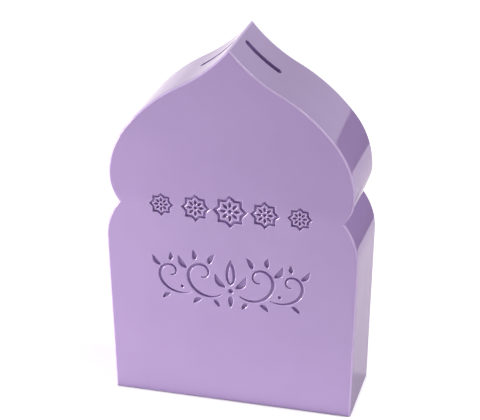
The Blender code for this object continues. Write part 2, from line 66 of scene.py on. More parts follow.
# Acrylic sheet
CASE_DEPTH = 52.5 * MM
PANEL = 5 * MM
STRIP = 3 * MM
EDGE_ROUND = 1.4 * MM
EDGE_STEPS = 6
SMALL_ROUND = 0.35 * MM
# Half the width of the ridge's painted highlight line, and how far below the top it is looked for
RIDGE_BAND = 0.75 * MM
RIDGE_REACH = 6 * MM
GLUE_GAP = 0.3 * MM

# Coin slots
SLOT_START = 4.5 * MM
SLOT_LENGTH = 27 * MM
SLOT_WIDTH = 4.6 * MM
SLOT_SLICES = 28

# Door
DOOR_WIDTH = 84 * MM
DOOR_HEIGHT = 78 * MM
DOOR_SILL = 14 * MM
DOOR_CORNER = 3 * MM
CORNER_STEPS = 6
DOOR_CLEARANCE = 0.8 * MM

# Hinges and their screws. A screw's head is (radius, height).
HINGE_HEIGHT = 22 * MM
LEAF_WIDTH = 11 * MM
LEAF_THICKNESS = 1 * MM
LEAF_CORNER = 1.4 * MM
KNUCKLE_RADIUS = 2.2 * MM
KNUCKLE_END_SHARE = 0.34
KNUCKLE_GAP = 0.3 * MM
PIN_RADIUS = 1 * MM
PIN_HEAD_RADIUS = 1.8 * MM
PIN_HEAD_HEIGHT = 0.7 * MM
PIN_CLEARANCE = 0.15 * MM
SCREW_RADIUS = 1.1 * MM
SCREW_CLEARANCE = 0.2 * MM
SCREW_HEAD = (2.1 * MM, 1.2 * MM)
FINE_ROUND = 0.12 * MM
# Profile of a pan head as shares of its radius and height, and the size of the cross in it
PAN_HEAD = ((0, 0), (0.45, 0.02), (0.68, 0.1), (0.85, 0.26), (0.95, 0.5), (1, 0.78), (1, 1))
RECESS_SHARE = 0.62
RECESS_ARM_SHARE = 0.13

# Cam lock
FLANGE_RADIUS = 9 * MM
FLANGE_HEIGHT = 2 * MM
FLANGE_ROUND = 0.8 * MM
FLANGE_RING_SHARE = 0.72
FLANGE_RING_DEPTH = 0.25 * MM
BARREL_RADIUS = 6 * MM
BARREL_ACROSS_FLATS = 10.4 * MM
LOCK_HOLE_CLEARANCE = 0.3 * MM
THREAD_PITCH = 1 * MM
THREAD_DEPTH = 0.45 * MM
NUT_ACROSS_FLATS = 17 * MM
NUT_FACE_INSET = 0.2 * MM
NUT_FACE_DROP = 0.25 * MM
NUT_CONE_OVERSHOOT = 0.3 * MM
PLUG_RADIUS = 4.2 * MM
PLUG_CLEARANCE = 0.15 * MM
PLUG_ROUND = 0.3 * MM
KEYWAY_WIDTH = 1.2 * MM
KEYWAY_HEIGHT = 5.8 * MM
KEYWAY_DEPTH = 6 * MM
KEYWAY_OUTLINE = ((-1, -1), (0.3, -1), (0.3, -0.35), (1, -0.25), (1, 1), (-0.3, 1), (-0.3, 0.4), (-1, 0.3))
TAIL_SIDE = 5.6 * MM
CAM_THICKNESS = 1.6 * MM
CAM_WIDTH = 12 * MM
CAM_HEEL = 6.5 * MM
CAM_REACH = 24 * MM
CAM_BEND_START = 8.5 * MM
CAM_BEND_RUN = 4.5 * MM
CAM_TIP_CORNER = 3.5 * MM
CAM_ROUND = 0.25 * MM
CAM_SCREW_RADIUS = 1.5 * MM
CAM_SCREW_HEAD = (3.6 * MM, 1.8 * MM)
CAM_SCREW_TURN = radians(25)

# Engraving of the front
ENGRAVING_DEPTH = 1.8 * MM
RIM_SLOPE_WIDTH = 0.38 * MM
RIM_SLOPE_DEPTH = 0.3 * MM
STAR_ROW_HEIGHT = 126 * MM
STAR_COUNT = 5
STAR_SPACING = 20.5 * MM
SIDE_STAR_SCALE = 0.84
STAR_RADIUS = 10.4 * MM
STAR_RING = 2.5 * MM
# A petal starts and ends so many mm from its star's middle
PETAL = (2.2, 6.3)
PETAL_WIDTH = 2 * MM
STAR_EYE = 1.15 * MM
SCROLL_HEIGHT = 82 * MM
LEAF_STEPS = 12
CURVE_STEPS = 14

# Grain of the materials
CLOUD_SIZE = 38 * MM
WIPE_SIZE = 9 * MM
SWELL_SIZE = 30 * MM
SWELL_DEPTH = 0.02 * MM
POLISH_LINE_SIZE = 0.9 * MM
POLISH_LINE_DEPTH = 0.0012 * MM
BEAM_PASS_SIZE = 0.5 * MM
BURN_GRIT_SIZE = 0.6 * MM
BURN_DEPTH = 0.03 * MM
FILM_SIZE = 7 * MM
PLATING_MARK_DEPTH = 0.004 * MM
PAPER_GRAIN_SIZE = 4 * MM
ACRYLIC_IOR = 1.49

# Paper floor: its glow, and the shares of open sky between which the box's contact line fades out
FLOOR_HALF = 4
GLOW_START = 0.5
GLOW_END = 1.8
NEAR_GLOW = 0.52
FAR_GLOW = 0.85
CONTACT_REACH = 3 * MM
CONTACT_SAMPLES = 12
CONTACT_SHARES = (0.4, 0.65)

FRONT = -CASE_DEPTH / 2
BACK = CASE_DEPTH / 2
SAME_POINT = 0.002 * MM
ON_LEVEL = 0.02 * MM
FLAT_ANGLE = radians(0.05)
# Shares of a face's normal that point upwards, or straight out of the sheet
SLOPING = 0.3
LEVEL = 0.9
RIGHT_ANGLE = radians(90)
ORIGIN = Vector((0, 0, 0))
UP = Vector((0, 0, 1))
OUT = Vector((0, 1, 0))
WHITE = (1, 1, 1, 1)
WARM = (1.0, 0.985, 0.93)


# Nodes and colours
def linear(hex_colour):
    """sRGB hex digits as linear red, green, blue and alpha."""
    shares = [int(hex_colour[i : i + 2], 16) / 255 for i in (0, 2, 4)]
    return [c / 12.92 if c <= 0.04045 else ((c + 0.055) / 1.055) ** 2.4 for c in shares] + [1.0]


def put(node, values):
    """Sets a node's inputs and properties by name or number. A value can be another node's output."""
    for key, value in values.items():
        if isinstance(value, bpy.types.NodeSocket):
            node.id_data.links.new(value, node.inputs[key])
        elif isinstance(key, int) or key in node.inputs:
            node.inputs[key].default_value = value
        else:
            setattr(node, key, value)
    return node


def new_node(tree, kind, values=None, output=0):
    """Adds a node and gives one of its outputs, by name or number."""
    return put(tree.nodes.new(kind), values or {}).outputs[output]


def calculated(tree, operation, *terms):
    """The result of one sum on numbers and other nodes' outputs."""
    return new_node(tree, "ShaderNodeMath", {"operation": operation, **dict(enumerate(terms))})


def mapped(tree, value, start, end, low=0.0, high=1.0):
    """A value's share of the way from start to end, spread from low to high."""
    limits = {"From Min": start, "From Max": end, "To Min": low, "To Max": high}
    return new_node(tree, "ShaderNodeMapRange", {"Value": value, **limits})


def object_place(tree):
    return new_node(tree, "ShaderNodeTexCoord", output="Object")


def new_material(name):
    """An empty material and its shader, which is joined to the output."""
    material = bpy.data.materials.new(name)
    material.use_nodes = True
    tree = material.node_tree
    tree.nodes.clear()
    shader = tree.nodes.new("ShaderNodeBsdfPrincipled")
    put(tree.nodes.new("ShaderNodeOutputMaterial"), {"Surface": shader.outputs["BSDF"]})
    return material, tree, shader


def ramp(tree, factor, stops):
    """A colour ramp with stops of (position, hex colour)."""
    node = put(tree.nodes.new("ShaderNodeValToRGB"), {"Fac": factor})
    elements = node.color_ramp.elements
    while len(elements) < len(stops):
        elements.new(0.5)
    for element, (position, colour) in zip(elements, stops):
        element.position = position
        element.color = linear(colour)
    return node.outputs["Color"]


def noise_of(tree, size, detail=3.0, stretch=(1, 1, 1)):
    """Noise on the object's own coordinates, whose grains are about this many metres across."""
    scale = [1 / (size * s) for s in stretch]
    place = new_node(tree, "ShaderNodeMapping", {"Scale": scale, "Vector": object_place(tree)})
    return new_node(
        tree, "ShaderNodeTexNoise", {"Scale": 1.0, "Detail": detail, "Roughness": 0.5, "Vector": place}
    )


def bumped(tree, height, depth, normal=None):
    """The normal of a surface that rises by this depth, perhaps on top of another such surface."""
    values = {"Strength": 1.0, "Distance": depth, "Height": height}
    if normal is not None:
        values["Normal"] = normal
    return new_node(tree, "ShaderNodeBump", values)


def cast_acrylic(name, shade, tint):
    """Cast acrylic sheet, polished: even milky colour, a hard clean gloss and a faint swell."""
    material, tree, shader = new_material(name)
    # Wiping leaves streaks that dull the gloss by a touch, and casting leaves a long swell.
    haze = noise_of(tree, WIPE_SIZE, 4.0, (1, 1, 3))
    swell = bumped(tree, noise_of(tree, SWELL_SIZE, 1.0), SWELL_DEPTH)
    # Sawn and flame-polished edges have fine lines across the sheet.
    normal = new_node(tree, "ShaderNodeNewGeometry", output="True Normal")
    across = new_node(tree, "ShaderNodeSeparateXYZ", {"Vector": normal}, "Y")
    edge_only = mapped(tree, calculated(tree, "ABSOLUTE", across), 0.3, 0.7, 1.0, 0.0)
    lines = noise_of(tree, POLISH_LINE_SIZE, 1.0, (1, 24, 1))
    edge_lines = calculated(tree, "MULTIPLY", lines, edge_only)
    put(shader, {
        "Base Color": ramp(tree, noise_of(tree, CLOUD_SIZE, 2.0), [(0.3, shade), (0.7, tint)]),
        "Roughness": mapped(tree, haze, 0, 1, 0.035, 0.075),
        "Normal": bumped(tree, edge_lines, POLISH_LINE_DEPTH, swell),
        "IOR": ACRYLIC_IOR,
    })
    return material


def engraved_acrylic():
    """The engraver's frosted floor: the same acrylic, matt, with fine passes, and a shade darker as painted
    shade in the recesses.
    """
    material, tree, shader = new_material("laser_engraved_frosted_acrylic_painted_shade")
    passes = noise_of(tree, BEAM_PASS_SIZE, 2.0, (12, 1, 1))
    grit = noise_of(tree, BURN_GRIT_SIZE, 3.0)
    put(shader, {
        "Base Color": ramp(tree, grit, [(0.25, "A58CBE"), (0.75, "AE95C7")]),
        "Roughness": mapped(tree, grit, 0, 1, 0.5, 0.7),
        "Normal": bumped(tree, passes, BURN_DEPTH),
        "IOR": ACRYLIC_IOR,
    })
    return material


def plated_metal(name, colours, gloss, grain, stretch=(1, 1, 1)):
    """Plated metal: a tinted reflection, grain from its making, and a film where hands don't rub.

    The colours are those of the film, of the dull plating and of the bright one.
    """
    material, tree, shader = new_material(name)
    film = noise_of(tree, FILM_SIZE, 5.0)
    marks = noise_of(tree, grain, 4.0, stretch)
    put(shader, {
        "Base Color": ramp(tree, film, list(zip((0.2, 0.38, 0.7), colours))),
        "Metallic": 1.0,
        "Roughness": mapped(tree, marks, 0, 1, *gloss),
        "Normal": bumped(tree, marks, PLATING_MARK_DEPTH),
    })
    return material


# The pastel lilac of the sheets.
ACRYLIC = cast_acrylic("cast_acrylic_lilac_polished", "AE93C8", "B297CC")
# A paler lilac for the rounded arrises, the roof's ridge and the rims of the engraving: a painted highlight
# where light would catch them.
PAINTED_HIGHLIGHT = cast_acrylic("cast_acrylic_lilac_painted_highlight", "D4BAEA", "D8BFEE")
# Inside the narrow slots the walls take a darker, more saturated lilac: painted shade for the deep slots,
# where light passes from wall to wall.
SLOT_SHADE = cast_acrylic("cast_acrylic_lilac_slot_painted_shade", "A17EC5", "A886CA")
# The engraved floors, darker than the sheet: painted shade in the recesses.
SHADED_ENGRAVING = engraved_acrylic()
# Rolled and barrel-plated hinges: warm, soft reflections with long drawn lines.
NICKEL = plated_metal(
    "nickel_plated_rolled_steel", ("8E8A80", "B9B6AE", "CFCCC4"), (0.18, 0.34), 0.6 * MM, (1, 1, 10)
)
# Bright zinc on pressed and headed steel: bluish, grainy, a little cloudy.
ZINC = plated_metal("zinc_plated_headed_steel", ("8A8D90", "A9ADB2", "C2C6CA"), (0.28, 0.46), 0.7 * MM)
# Chromed die casting: clean and hard, with only a trace of haze.
CHROME = plated_metal("chromed_zinc_die_casting", ("B4B6BA", "CFD1D4", "DCDEE1"), (0.06, 0.16), 1.5 * MM)


# Outline of the case
def towards(angle):
    """One step in this direction."""
    return Vector((cos(angle), sin(angle)))


def left_of(way):
    return Vector((-way.y, way.x))


def arc_between(start, heading, end):
    """The points after start on the arc that leaves it at this heading for end, and its last heading."""
    chord = end - start
    turn = 2 * (atan2(chord.y, chord.x) - heading)
    radius = chord.length / (2 * sin(turn / 2))
    steps = max(2, round(abs(turn) / OUTLINE_STEP))
    parts = [turn * i / steps for i in range(1, steps + 1)]
    points = [start + 2 * radius * sin(part / 2) * towards(heading + part / 2) for part in parts]
    return points, heading + turn


def right_outline():
    """The right half of the outline as (x, z), from base to apex, and which point is the notch."""
    half = CASE_WIDTH / 2
    base = Vector((half - WALL_LEAN, 0))
    shoulder = Vector((half, WALL_HEIGHT))
    notch = Vector((half - NOTCH_INSET, WALL_HEIGHT + SHOULDER_RISE))
    bulge = Vector((half - BULGE_INSET, notch.y + LOWER_BULGE_RISE))
    points = [base, shoulder]
    points += arc_between(shoulder, atan2(WALL_HEIGHT, WALL_LEAN), notch)[0]
    notch_index = len(points) - 1
    points += arc_between(bulge, -RIGHT_ANGLE, notch)[0][-2::-1] + [bulge]
    heading = RIGHT_ANGLE
    for wide, high in (HAUNCH, TIP, (0, 1)):
        end = Vector((bulge.x * wide, bulge.y + DOME_RISE * high))
        stretch, heading = arc_between(points[-1], heading, end)
        points += stretch
    return points, notch_index


def inward(points, distance):
    """The line this far to the left of another, with its corners mitred."""
    ways = [(end - start).normalized() for start, end in zip(points, points[1:])]
    moved = []
    for point, before, after in zip(points, ways[:1] + ways, ways + ways[-1:]):
        along = (before + after).normalized()
        moved.append(point + left_of(along) * distance / along.dot(before))
    return moved


def mirrored(points):
    return [Vector((-point.x, point.y)) for point in reversed(points)]


def strip_sections():
    """The sections of the right wall and roof strips, mitred where they meet."""
    outer, notch_index = right_outline()
    *inner, apex, _ = inward(outer + [Vector((-outer[-2].x, outer[-2].y))], STRIP)
    inner = [point for point in inner if point.x >= 0] + [apex]
    inner[0].y = 0
    wall = outer[: notch_index + 1] + inner[: notch_index + 1][::-1]
    roof = outer[notch_index:] + inner[notch_index:][::-1]
    return {"wall": wall, "roof": roof}


def point_along(line, distance):
    """The place this far along a line, whose last stretch runs on, and the normal there."""
    for start, end in zip(line, line[1:]):
        length = (end - start).length
        if distance <= length or end is line[-1]:
            break
        distance -= length
    along = (end - start).normalized()
    return start + along * distance, left_of(along)


def round_loop(radius, middle, start, end, steps):
    """Points of an arc between two angles in degrees."""
    angles = [radians(start + (end - start) * i / steps) for i in range(steps + 1)]
    return [middle + radius * towards(angle) for angle in angles]


def circle(radius, middle, steps):
    return round_loop(radius, middle, 0, 360, steps)[:-1]


def rounded_rectangle(width, height, corner, middle=Vector((0, 0))):
    points = []
    for quarter, (side_x, side_y) in enumerate(((1, -1), (1, 1), (-1, 1), (-1, -1))):
        centre = middle + Vector((side_x * (width / 2 - corner), side_y * (height / 2 - corner)))
        points += round_loop(corner, centre, 90 * quarter - 90, 90 * quarter, CORNER_STEPS)
    return points


# Ways to make a piece
FACING_FRONT = Matrix.Rotation(RIGHT_ANGLE, 4, "X")
FACING_UP = Matrix.Identity(4)
FACING_SIDE = Matrix(((0, 0, -1, 0), (0, 1, 0, 0), (1, 0, 0, 0), (0, 0, 0, 1)))


def add_object(name, data):
    obj = bpy.data.objects.new(name, data)
    bpy.context.scene.collection.objects.link(obj)
    return obj


def remove(obj):
    bpy.data.objects.remove(obj, do_unlink=True)


def mesh_object(name, points, edges=(), faces=()):
    mesh = bpy.data.meshes.new(name)
    mesh.from_pydata(points, edges, faces)
    return add_object(name, mesh)


def solid_from(name, body, *materials):
    """An object from a finished bmesh, with these materials."""
    mesh = bpy.data.meshes.new(name)
    body.to_mesh(mesh)
    body.free()
    for material in materials:
        mesh.materials.append(material)
    return add_object(name, mesh)


def edited(obj, *changes):
    """Runs changes on the object's mesh through bmesh."""
    body = bmesh.new()
    body.from_mesh(obj.data)
    for change in changes:
        change(body)
    body.to_mesh(obj.data)
    body.free()
    return obj


def weld(body):
    """Joins points that lie in one place."""
    bmesh.ops.remove_doubles(body, verts=body.verts, dist=SAME_POINT)


def flatten(body):
    """Joins faces that lie in one plane."""
    bmesh.ops.dissolve_limit(
        body, angle_limit=FLAT_ANGLE, verts=body.verts, edges=body.edges, delimit={"NORMAL"}
    )


def face_outwards(body):
    bmesh.ops.recalc_face_normals(body, faces=body.faces)


def plain_mesh(obj):
    """The mesh that the object's curve or modifiers make."""
    bpy.context.view_layer.update()
    graph = bpy.context.evaluated_depsgraph_get()
    return bpy.data.meshes.new_from_object(obj.evaluated_get(graph))


def applied(obj):
    """Turns the object's modifiers into plain mesh."""
    mesh = plain_mesh(obj)
    obj.modifiers.clear()
    obj.data = mesh
    return obj


def settled(solid, place):
    """Moves the mesh to its place, while the object stays at the origin."""
    solid.matrix_basis = place
    solid.data.transform(solid.matrix_basis)
    solid.matrix_basis = Matrix.Identity(4)
    return solid


def set_down(solid, place, material):
    """Settles a new solid and gives it its one material."""
    settled(solid, place)
    solid.data.materials.clear()
    solid.data.materials.append(material)
    return solid


def flat_solid(name, loops, thickness, middle, material, facing=FACING_FRONT):
    """An outline, with those of its holes and islands after it, thickened to both sides of middle."""
    curve = bpy.data.curves.new(name, "CURVE")
    curve.dimensions = "2D"
    curve.fill_mode = "BOTH"
    curve.extrude = thickness / 2
    for loop in loops:
        spline = curve.splines.new("POLY")
        spline.points.add(len(loop) - 1)
        for spline_point, point in zip(spline.points, loop):
            spline_point.co = (point.x, point.y, 0, 1)
        spline.use_cyclic_u = True
    guide = add_object(name + "_outline", curve)
    solid = add_object(name, plain_mesh(guide))
    remove(guide)
    edited(solid, weld, flatten, face_outwards)
    return set_down(solid, Matrix.Translation(middle) @ facing, material)


def block(name, low, high, material):
    """A box between two opposite corners."""
    body = bmesh.new()
    bmesh.ops.create_cube(body, size=1)
    bmesh.ops.scale(body, vec=high - low, verts=body.verts)
    bmesh.ops.translate(body, vec=(low + high) / 2, verts=body.verts)
    return solid_from(name, body, material)


def turned(name, profile, place, material, steps=48, out=OUT):
    """A profile of (radius, height), from the top down, turned about an axis along out."""
    points = [(radius, 0, height) for radius, height in profile]
    solid = mesh_object(name, points, [(i, i + 1) for i in range(len(points) - 1)])
    screw = solid.modifiers.new("turn", "SCREW")
    screw.steps = screw.render_steps = steps
    screw.use_merge_vertices = True
    screw.merge_threshold = SAME_POINT
    edited(applied(solid), weld, face_outwards)
    turn = out.to_track_quat("Z", "Y").to_matrix().to_4x4()
    return set_down(solid, Matrix.Translation(place) @ turn, material)


def rod_profile(radius, low, high):
    return [(0, high), (radius, high), (radius, low), (0, low)]


def rim_profile(radius, top, wide, tall):
    """A quarter of an ellipse, this wide and tall, from the top down to this radius."""
    turns = [radians(15 * i) for i in range(7)]
    return [(radius - wide + wide * sin(t), top - tall + tall * cos(t)) for t in turns]


def combined(solid, other, operation="DIFFERENCE", tangled=False):
    """A Boolean that uses the other solid up, whose faces keep their material."""
    cut = solid.modifiers.new("cut", "BOOLEAN")
    cut.use_self = tangled
    cut.operation = operation
    cut.solver = "EXACT"
    cut.material_mode = "TRANSFER"
    cut.object = other
    applied(solid)
    remove(other)
    return solid


def rounded(solid, width, segments=3, chosen=lambda edge: True, angle=60):
    """Rounds the edges that turn by more than this angle and that chosen(edge) picks."""
    def bevel(body):
        body.normal_update()
        edges = [e for e in body.edges if e.calc_face_angle(0) > radians(angle) and chosen(e)]
        bmesh.ops.bevel(
            body, geom=edges, offset=width, segments=segments, profile=0.5,
            affect="EDGES", clamp_overlap=True, material=-1,
        )
        bmesh.ops.remove_doubles(body, verts=body.verts, dist=SAME_POINT / 4)

    return edited(solid, bevel)


def finish(solid, body, slot, nodes, corner=35):
    """Smooths a piece up to this corner, and lets it ride on its body in its nodes' place."""
    solid.data.shade_smooth()
    solid.data.set_sharp_from_angle(angle=radians(corner))
    weigh = solid.modifiers.new("weigh", "WEIGHTED_NORMAL")
    weigh.mode = "FACE_AREA"
    weigh.weight = 100
    weigh.keep_sharp = True
    applied(solid)
    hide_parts(*nodes)
    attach(solid, body)


# Ornament of the front: a row of eight-pointed stars over a leaf scroll, as closed loops of (x, z)
def star_loop(outer):
    """The outline of two squares laid over each other, one turned by an eighth."""
    inner = outer * cos(radians(45)) / cos(radians(22.5))
    return [(inner if i % 2 else outer) * towards(radians(22.5 * i)) for i in range(16)]


def leaf_loop(base, tip, width, bend=0.0, fullness=0.42):
    """A leaf whose spine bends to its left, widest at the fullness share of its length."""
    along = tip - base
    left = left_of(along).normalized()
    upper, lower = [], []
    for i in range(LEAF_STEPS + 1):
        t = i / LEAF_STEPS
        spine = base + along * t + left * bend * sin(pi * t)
        rise = sin(pi * t ** (log(0.5) / log(fullness))) ** 0.8 if 0 < t < 1 else 0.0
        upper.append(spine + left * width / 2 * rise)
        lower.append(spine - left * width / 2 * rise)
    return lower + upper[-2:0:-1]


def bezier(points):
    """A chain of cubic curves: start, two handles, end, two handles, end and so on."""
    line = [points[0]]
    for i in range(0, len(points) - 1, 3):
        a, b, c, d = points[i : i + 4]
        for k in range(1, CURVE_STEPS + 1):
            t = k / CURVE_STEPS
            s = 1 - t
            line.append(a * s**3 + b * 3 * s * s * t + c * 3 * s * t * t + d * t**3)
    return line


def stroke_loop(line, widest, start_share, end_share, belly):
    """A pen stroke along a line, thin at its ends and widest at the belly share of its length."""
    left, right, lengths = [], [], [0.0]
    for start, end in zip(line, line[1:]):
        lengths.append(lengths[-1] + (end - start).length)
    for i, point in enumerate(line):
        t = lengths[i] / lengths[-1]
        along = (line[min(i + 1, len(line) - 1)] - line[max(i - 1, 0)]).normalized()
        swell = sin(pi / 2 * (t / belly if t < belly else (1 - t) / (1 - belly)))
        ends = start_share if t < belly else end_share
        width = widest * (ends + (1 - ends) * swell)
        left.append(point + left_of(along) * width / 2)
        right.append(point - left_of(along) * width / 2)
    return right + left[::-1]


def star_motif():
    """One star: a broad ring, eight petals inside it and a round eye."""
    loops = [star_loop(STAR_RADIUS), star_loop(STAR_RADIUS - STAR_RING)]
    for i in range(8):
        base, tip = [towards(radians(45 * i)) * reach * MM for reach in PETAL]
        loops.append(leaf_loop(base, tip, PETAL_WIDTH))
    return loops + [circle(STAR_EYE, Vector((0, 0)), 16)]


# The scroll's right half, in mm about its middle. A stem: the points of its curves, then its widest
# place, the shares of that at the start and the end, and where along it the widest place is.
SCROLL_STEMS = (
    (((5.5, -10), (12, -15), (22, -12), (25, -3), (27.5, 5),
      (20, 10.5), (15, 7), (11.5, 4), (14, -1.5), (18, 0)), 2.1, 0.3, 0.35, 0.45),
    (((23.5, -10.5), (30, -14), (40, -11), (42.5, -3.5), (44.5, 3.5),
      (38.5, 8), (34.2, 5), (31.6, 2.6), (33.4, -1.6), (36.4, -0.6)), 1.9, 0.12, 0.35, 0.5),
)
# A leaf: base, tip, width and bend.
SCROLL_LEAVES = (
    ((26.4, 4.5), (31.5, 12.5), 3.6, -0.9), ((22, 10.4), (22.5, 17), 3.0, 0.6),
    ((13.2, 8.6), (9.6, 15.4), 3.2, -0.7), ((17.6, -14), (22.8, -18.2), 2.8, 0.7),
    ((10.2, -14), (6.8, -18.6), 2.6, -0.4), ((42.2, 4.6), (47.2, 11), 3.0, -0.7),
    ((36.4, 8.6), (36.2, 14), 2.6, 0.4), ((36.5, -12.8), (41.5, -17), 2.6, 0.6),
    ((3.2, -5.4), (9.4, 3.2), 4.0, -1.2),
)


def scroll_loops():
    """The right half of the leaf scroll with its mirror image, about a flower in the middle."""
    def at(place):
        return Vector((place[0] * MM, SCROLL_HEIGHT + place[1] * MM))

    def upright_leaf(base, tip, width):
        return leaf_loop(at((0, base)), at((0, tip)), width * MM, fullness=0.4)

    half = []
    for curves, widest, *shares in SCROLL_STEMS:
        half.append(stroke_loop(bezier([at(place) for place in curves]), widest * MM, *shares))
    for base, tip, width, bend in SCROLL_LEAVES:
        half.append(leaf_loop(at(base), at(tip), width * MM, bend * MM))
    half.append(circle(1.0 * MM, at((29.4, -7.6)), 14))
    loops = [upright_leaf(-3.6, 13.5, 6.0), upright_leaf(-2.2, 9.6, 2.6)]
    for loop in half:
        loops += [loop, mirrored(loop)]
    return loops + [circle(1.5 * MM, at((0, -7.2)), 18), upright_leaf(-10.4, -18, 3.2)]


def tree_with_inputs(name, inputs):
    """A Geometry Nodes tree with these named inputs, and what brings them into it."""
    tree = bpy.data.node_groups.new(name, "GeometryNodeTree")
    for label, kind in {"Geometry": "Geometry", **inputs}.items():
        tree.interface.new_socket(label, in_out="INPUT", socket_type="NodeSocket" + kind)
    tree.interface.new_socket("Geometry", in_out="OUTPUT", socket_type="NodeSocketGeometry")
    return tree, tree.nodes.new("NodeGroupInput").outputs


def copies_on(tree, points, model, finish, ways):
    """Sets a copy of a model on each point, makes them real and gives them their material."""
    info = {"transform_space": "ORIGINAL", "Object": model}
    shape = new_node(tree, "GeometryNodeObjectInfo", info, "Geometry")
    copies = new_node(tree, "GeometryNodeInstanceOnPoints", {"Points": points, "Instance": shape, **ways})
    real = new_node(tree, "GeometryNodeRealizeInstances", {"Geometry": copies})
    dressed = new_node(tree, "GeometryNodeSetMaterial", {"Geometry": real, "Material": finish})
    put(tree.nodes.new("NodeGroupOutput"), {"Geometry": dressed})
    return tree


def star_row_tree():
    """Geometry Nodes: a row of stars with the middle one largest, as one solid for cutting."""
    tree, given = tree_with_inputs("star_row", {
        "Star": "Object", "Count": "Int", "Spacing": "Float", "Side star scale": "Float",
        "Height": "Float", "Finish": "Material",
    })
    middle = calculated(tree, "MULTIPLY", calculated(tree, "SUBTRACT", given["Count"], 1.0), 0.5)
    from_middle = calculated(tree, "SUBTRACT", new_node(tree, "GeometryNodeInputIndex"), middle)
    across = calculated(tree, "MULTIPLY", from_middle, given["Spacing"])
    place = new_node(tree, "ShaderNodeCombineXYZ", {"X": across, "Z": given["Height"]})
    row = new_node(tree, "GeometryNodeMeshLine", {"Count": given["Count"]})
    placed = new_node(tree, "GeometryNodeSetPosition", {"Geometry": row, "Position": place})
    steps_away = calculated(tree, "ABSOLUTE", from_middle)
    scale = calculated(tree, "POWER", given["Side star scale"], steps_away)
    scales = new_node(tree, "ShaderNodeCombineXYZ", {"X": scale, "Y": 1.0, "Z": scale})
    return copies_on(tree, placed, given["Star"], given["Finish"], {"Scale": scales})


def screw_set_tree():
    """Geometry Nodes: a screw on each point, each turned at random about its own axis."""
    tree, given = tree_with_inputs("screw_set", {
        "Screw": "Object", "Most turn": "Float", "Seed": "Int", "Finish": "Material",
    })
    # The node's plain numbers are its inputs 2 and 3 and its output 1.
    span = {"data_type": "FLOAT", 2: 0.0, 3: given["Most turn"], "Seed": given["Seed"]}
    turn = new_node(tree, "FunctionNodeRandomValue", span, 1)
    rotation = new_node(tree, "ShaderNodeCombineXYZ", {"Y": turn})
    return copies_on(tree, given["Geometry"], given["Screw"], given["Finish"], {"Rotation": rotation})


def with_tree(obj, tree, values):
    """Runs a Geometry Nodes tree with these named inputs on an object, down to plain mesh."""
    modifier = obj.modifiers.new(tree.name, "NODES")
    modifier.node_group = tree
    for item in tree.interface.items_tree:
        if item.item_type == "SOCKET" and item.in_out == "INPUT" and item.name in values:
            modifier[item.identifier] = values[item.name]
    return applied(obj)


def star_row(star, finish):
    """The row of stars made from one, which it uses up."""
    row = mesh_object("star_row_cutter", [(0, 0, 0)])
    with_tree(row, star_row_tree(), {
        "Star": star, "Count": STAR_COUNT, "Spacing": STAR_SPACING, "Side star scale": SIDE_STAR_SCALE,
        "Height": STAR_ROW_HEIGHT, "Finish": finish,
    })
    remove(star)
    return row


def widened(loop, width):
    """A closed outline moved outwards, with its sharp corners cut short."""
    following = loop[1:] + loop[:1]
    turning = 1 if sum(a.x * b.y - b.x * a.y for a, b in zip(loop, following)) > 0 else -1
    moved = []
    for before, point, after in zip(loop[-1:] + loop, loop, following):
        into, out = (point - before).normalized(), (after - point).normalized()
        across = Vector((into.y + out.y, -into.x - out.x)) * turning
        if across.length < 0.5:
            across = into - out
        across.normalize()
        square = Vector((out.y, -out.x)) * turning
        moved.append(point + across * width / max(across.dot(square), 0.7))
    return moved


def funnels(shapes):
    """Cutters that open each cut towards the front face, so that its rims slope; the sloped rims take the
    paler lilac of a painted highlight.

    A shape is an outline, or a ring's outline with that of the island in it, which has as many points.
    """
    body = bmesh.new()
    overshoot = 0.5

    def raised(loop, share):
        wide = widened(loop, RIM_SLOPE_WIDTH * share) if share else loop
        level = FRONT + RIM_SLOPE_DEPTH * (1 - abs(share))
        return [body.verts.new((p.x, level, p.y)) for p in wide]

    def belt(low, high):
        for i, corner in enumerate(low):
            body.faces.new((low[i - 1], corner, high[i], high[i - 1]))

    for shape in shapes:
        inner, outer = raised(shape[0], 0), raised(shape[0], 1 + overshoot)
        belt(inner, outer)
        if len(shape) == 1:
            body.faces.new(inner)
            body.faces.new(outer)
        else:
            foot, top = raised(shape[1], 0), raised(shape[1], -1 - overshoot)
            for low, high in ((foot, top), (inner, foot), (outer, top)):
                belt(low, high)
    face_outwards(body)
    return solid_from("funnels", body, PAINTED_HIGHLIGHT)


# Case
def inset_outline(distance):
    """The whole outline, this far inside the real one, with its corners mitred."""
    right = right_outline()[0]
    before, after = Vector((-right[0].x, 0)), Vector((-right[-2].x, right[-2].y))
    moved = inward([before] + right + [after], distance)[1:-1]
    top = moved[-1]
    moved = [point if point.x > top.x else top for point in moved[:-1]] + [top]
    return moved + mirrored(moved[:-1])


def paint_ridge_highlight(solid, sides):
    """Paints a pale highlight line along the roof's ridge, where its polished edge would catch the light."""
    materials = solid.data.materials
    if PAINTED_HIGHLIGHT.name not in materials:
        materials.append(PAINTED_HIGHLIGHT)
    highlight_index = materials.find(PAINTED_HIGHLIGHT.name)
    level = max(vertex.co.z for vertex in solid.data.vertices) - RIDGE_REACH

    def on_ridge(body):
        body.normal_update()
        return [f for f in body.faces if f.normal.z > SLOPING and f.calc_center_median().z > level]

    def mark(body):
        for side in sides:
            faces = on_ridge(body)
            parts = list({part for face in faces for part in (*face.verts, *face.edges, face)})
            cut = (side * RIDGE_BAND, 0, 0)
            bmesh.ops.bisect_plane(body, geom=parts, plane_co=cut, plane_no=(1, 0, 0))
        for face in on_ridge(body):
            if abs(face.calc_center_median().x) < RIDGE_BAND:
                face.material_index = highlight_index

    return edited(solid, mark)


